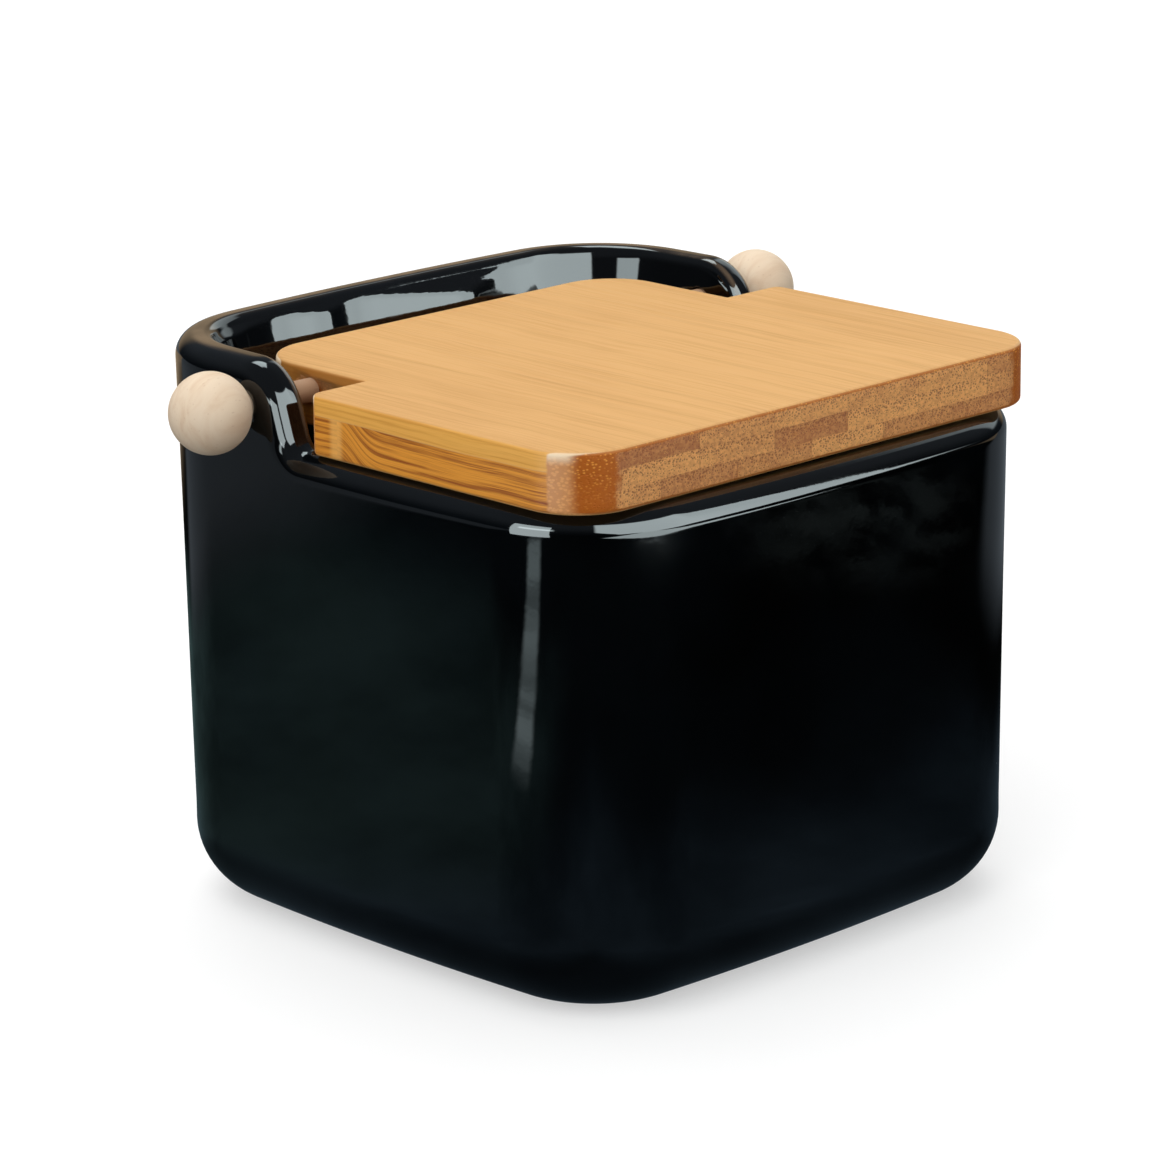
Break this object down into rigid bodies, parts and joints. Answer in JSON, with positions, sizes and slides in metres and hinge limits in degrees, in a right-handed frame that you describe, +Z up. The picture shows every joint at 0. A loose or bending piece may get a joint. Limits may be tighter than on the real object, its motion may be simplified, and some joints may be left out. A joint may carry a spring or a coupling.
{
  "type": "salt box",
  "caption": "Square glazed pot with a high back rim, closed by a T-shaped wooden lid that turns on side dowels ending in balls.",
  "frame": {"origin": "centre of the foot ring, on the surface that the pot stands on", "axes": "+Z up, -Y is the front, where the rim is low and the lid opens, and +X runs along the hinge"},
  "size_m": [0.1496, 0.1214, 0.1048],
  "materials": {
    "glaze": "gloss",
    "bamboo": "satin",
    "beech": "matte"
  },
  "bodies": {
    "box": {"pot": "glaze"},
    "lid_set": {"lid": "bamboo", "left_dowel": "beech", "right_dowel": "beech", "left_ball": "beech", "right_ball": "beech"}
  },
  "joints": [
    {"name": "lid_hinge", "type": "hinge", "parent": "box", "child": "lid_set", "pos_m": [0, 0.0245, 0.0969], "axis": [-1, 0, 0], "range_deg": [0, 131]}
  ]
}
